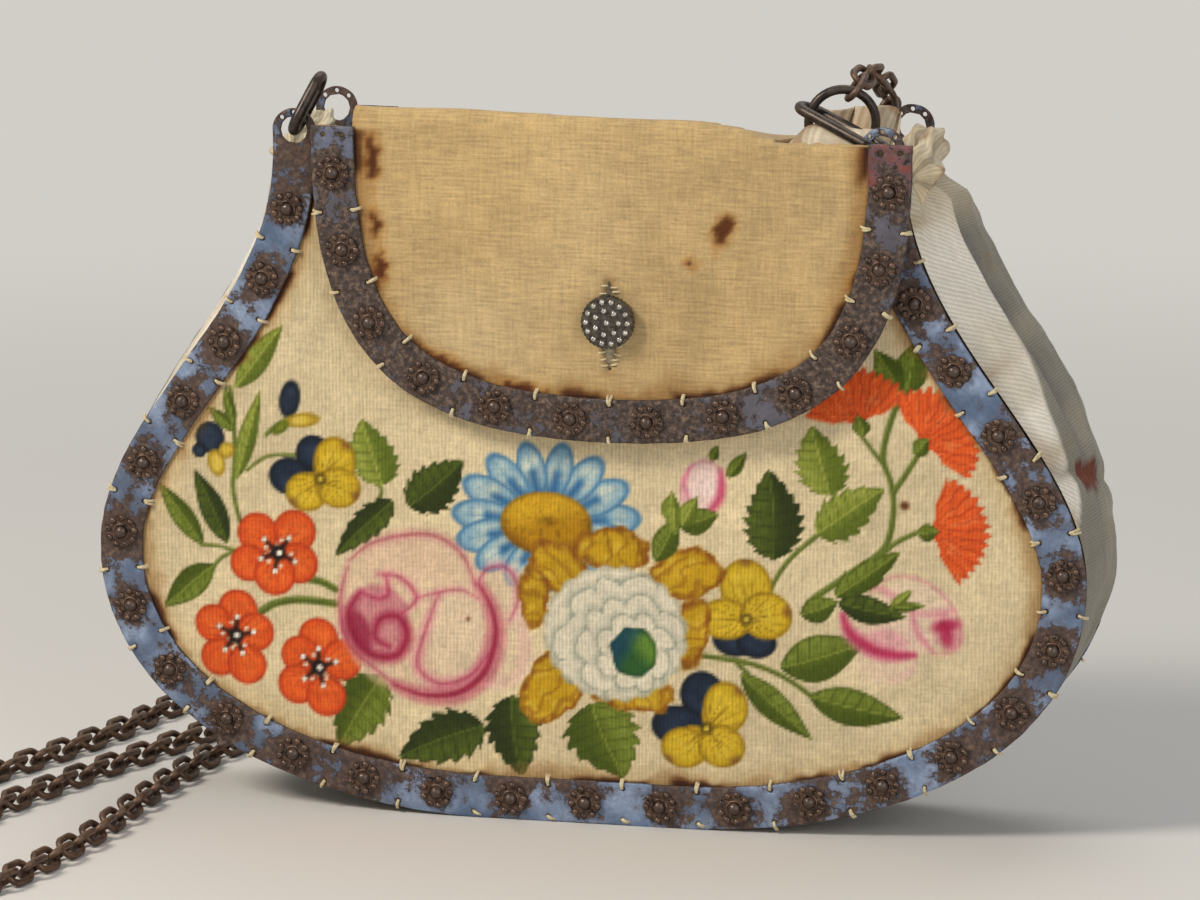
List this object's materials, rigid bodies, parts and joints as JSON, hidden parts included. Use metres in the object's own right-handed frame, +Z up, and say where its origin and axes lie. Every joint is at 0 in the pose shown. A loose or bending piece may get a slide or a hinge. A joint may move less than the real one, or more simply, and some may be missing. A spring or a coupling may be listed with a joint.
{
  "type": "reticule",
  "caption": "Pear-shaped velvet handbag edged with riveted steel strip, with a silk gusset, a buttoned flap over the mouth and a link chain handle.",
  "frame": {"origin": "on the floor, under the middle of the bag", "axes": "+X along the bag's width to its right, +Y from the front panel to the back, +Z up"},
  "size_m": [0.278, 0.2083, 0.1819],
  "materials": {
    "velvet": "ribbed cotton velvet, aged cream",
    "board": "pasteboard",
    "silk": "ribbed silk, greyed cream",
    "painted_steel": "blue paint flaked to brown rust",
    "dark_steel": "dark rusted steel",
    "rusty_iron": "rusted stamped iron",
    "cut_steel": "cut steel, polished facets",
    "dark_iron": "dark iron wire, brown patina"
  },
  "bodies": {
    "bag": {"front_panel": "velvet", "back_panel": "velvet", "front_board": "board", "back_board": "board", "front_lining": "silk", "back_lining": "silk", "gusset": "silk", "left_gather": "silk", "right_gather": "silk", "front_frame": "painted_steel", "front_rosettes": "rusty_iron", "front_rivets": "rusty_iron", "back_frame": "painted_steel", "back_rosettes": "rusty_iron", "back_rivets": "rusty_iron", "flap_back": "velvet", "flap_back_frame": "dark_steel", "flap_back_rosettes": "rusty_iron", "flap_back_rivets": "rusty_iron", "button": "cut_steel", "button_studs": "cut_steel", "button_shank": "cut_steel", "left_link": "dark_iron", "right_link": "dark_iron", "right_ring": "dark_iron", "chain_hanging": "dark_iron", "chain_lying": "dark_iron"},
    "flap": {"flap": "velvet", "flap_lining": "silk", "flap_frame": "dark_steel", "flap_rosettes": "rusty_iron", "flap_rivets": "rusty_iron"}
  },
  "joints": [
    {"name": "flap_hinge", "type": "hinge", "parent": "bag", "child": "flap", "pos_m": [0.007, 0.02335, 0.1614], "axis": [-1, 0, 0], "range_deg": [0, 170]}
  ]
}
